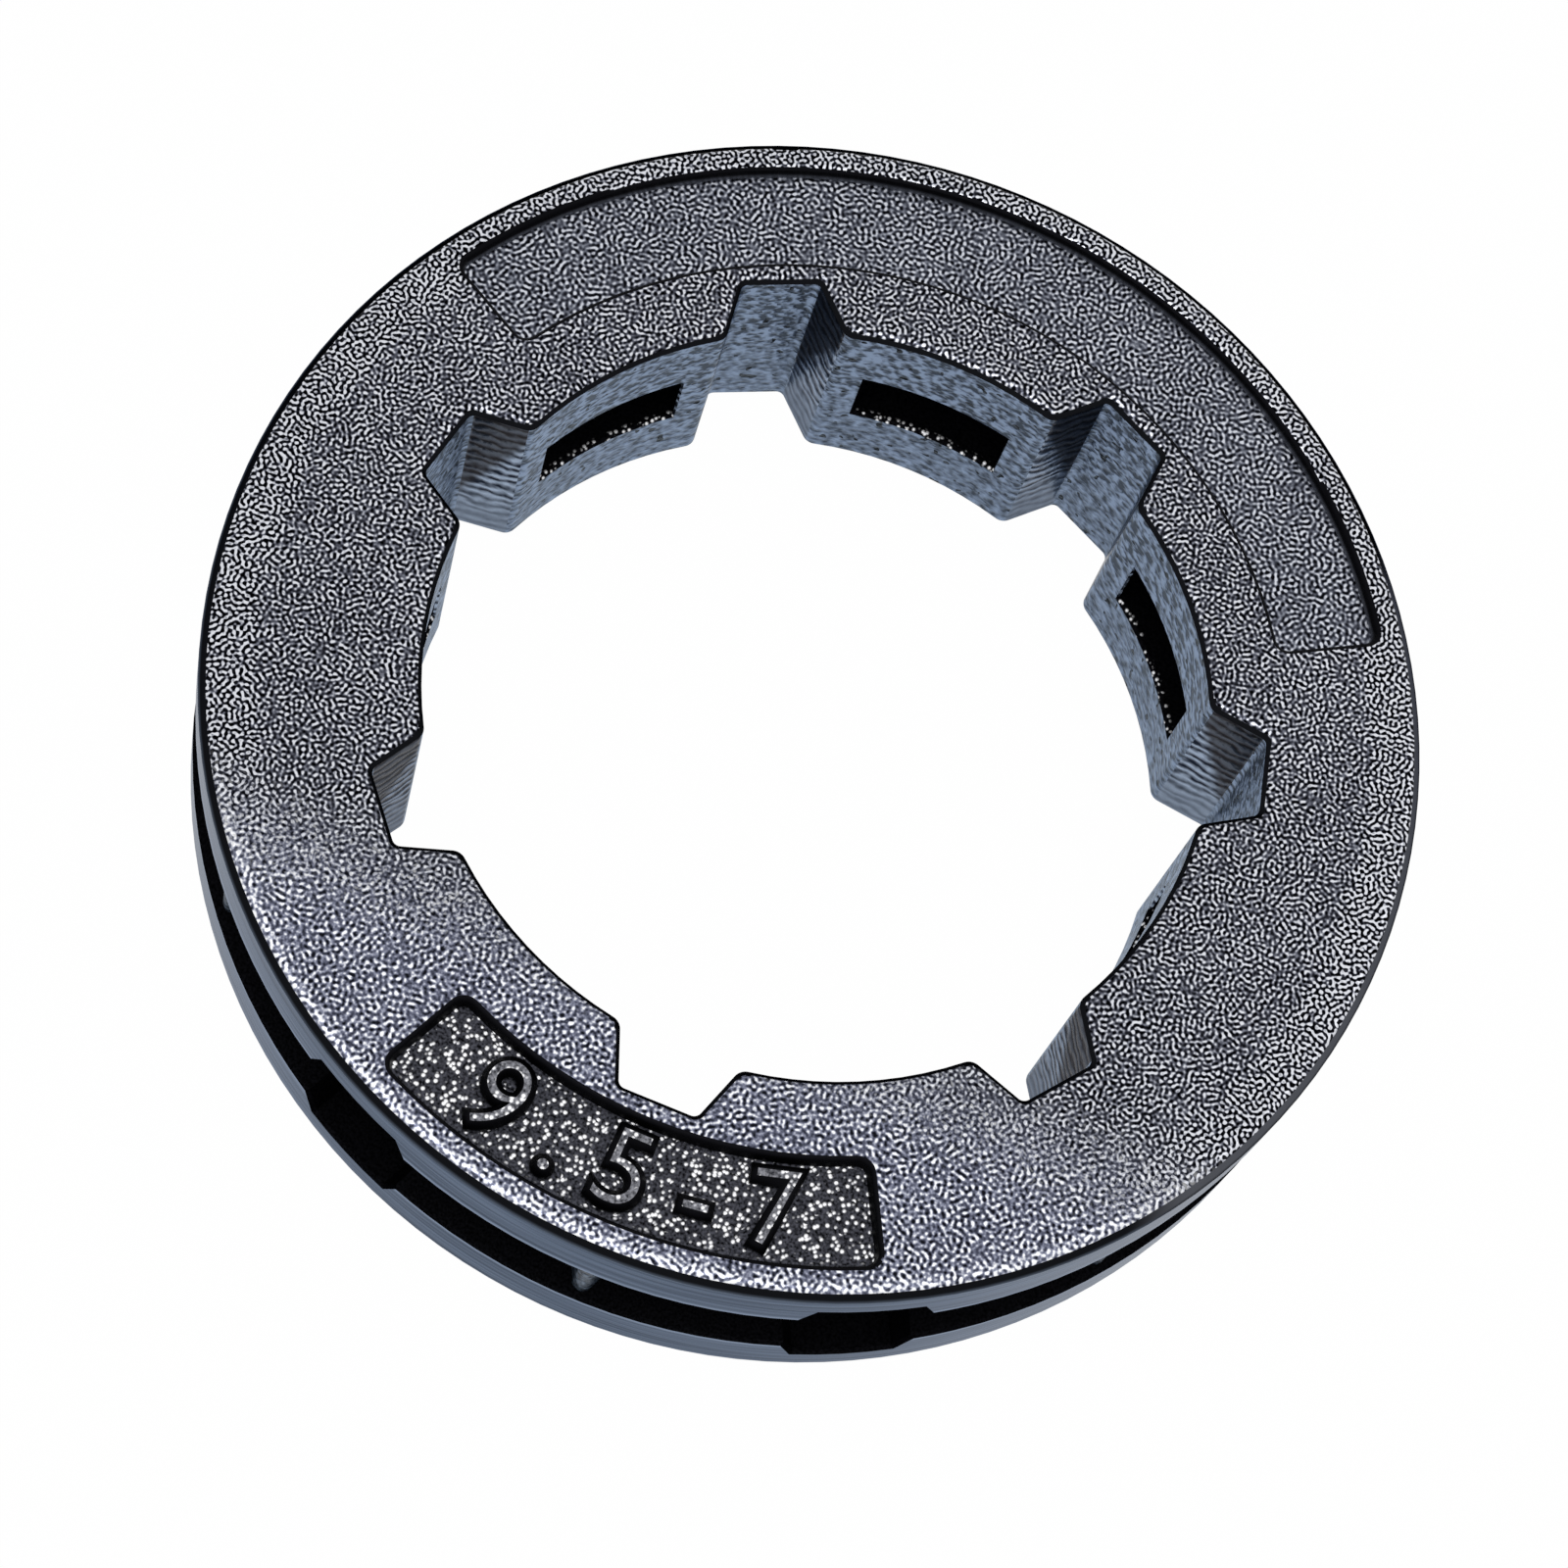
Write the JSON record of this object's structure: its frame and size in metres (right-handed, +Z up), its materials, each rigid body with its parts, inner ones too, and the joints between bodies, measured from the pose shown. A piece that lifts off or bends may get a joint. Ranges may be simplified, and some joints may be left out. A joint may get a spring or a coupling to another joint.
{
  "type": "chainsaw rim sprocket",
  "caption": "Floating chainsaw rim sprocket: two ring flanges joined by pointed teeth, with a chain groove between them and a splined, windowed bore.",
  "frame": {"origin": "centre of the lower face, on the axis of the bore", "axes": "+Z up the axis to the face with the sunk panels, -Y towards the short size panel and one spline groove"},
  "size_m": [0.035, 0.035, 0.0079],
  "materials": {
    "sintered_steel": "dark grainy pressed faces, smoother bore, fine ground rim"
  },
  "bodies": {
    "root": {"rim_sprocket": "sintered_steel"}
  },
  "joints": []
}
